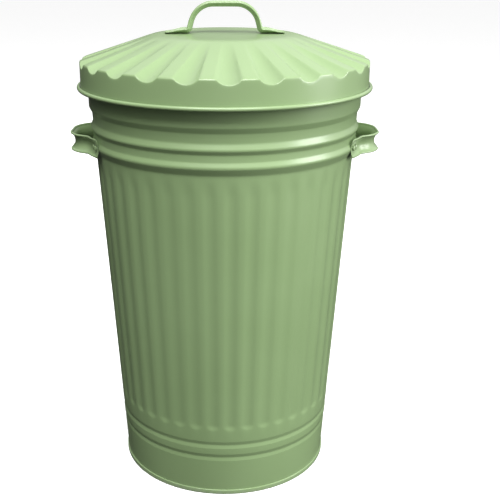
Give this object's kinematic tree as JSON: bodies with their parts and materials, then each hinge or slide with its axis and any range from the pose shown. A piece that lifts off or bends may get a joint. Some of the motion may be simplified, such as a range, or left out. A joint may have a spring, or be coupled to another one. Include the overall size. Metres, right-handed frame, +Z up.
{
  "type": "lidded dustbin",
  "caption": "Round tapered fluted steel dustbin with a loose domed lid, two side handles and a lid handle.",
  "frame": {"origin": "on the bin's axis at the surface it stands on", "axes": "+Z up along the axis, -Y towards the front, the two side handles on +X and -X"},
  "size_m": [0.411, 0.387, 0.6412],
  "materials": {
    "painted": "sage green gloss powder coat",
    "wire": "plain drawn steel wire"
  },
  "bodies": {
    "bin": {"body_wall": "painted", "base_pan": "painted", "rim_wire": "wire", "left_handle": "painted", "left_handle_rivets": "painted", "right_handle": "painted", "right_handle_rivets": "painted"},
    "lid": {"lid_pan": "painted", "lid_rim_wire": "wire", "lid_handle": "painted", "lid_handle_rivets": "painted"}
  },
  "joints": [
    {"name": "lid_lift", "type": "slide", "parent": "bin", "child": "lid", "axis": [0, 0, 1], "range_m": [0, 0.2]}
  ]
}
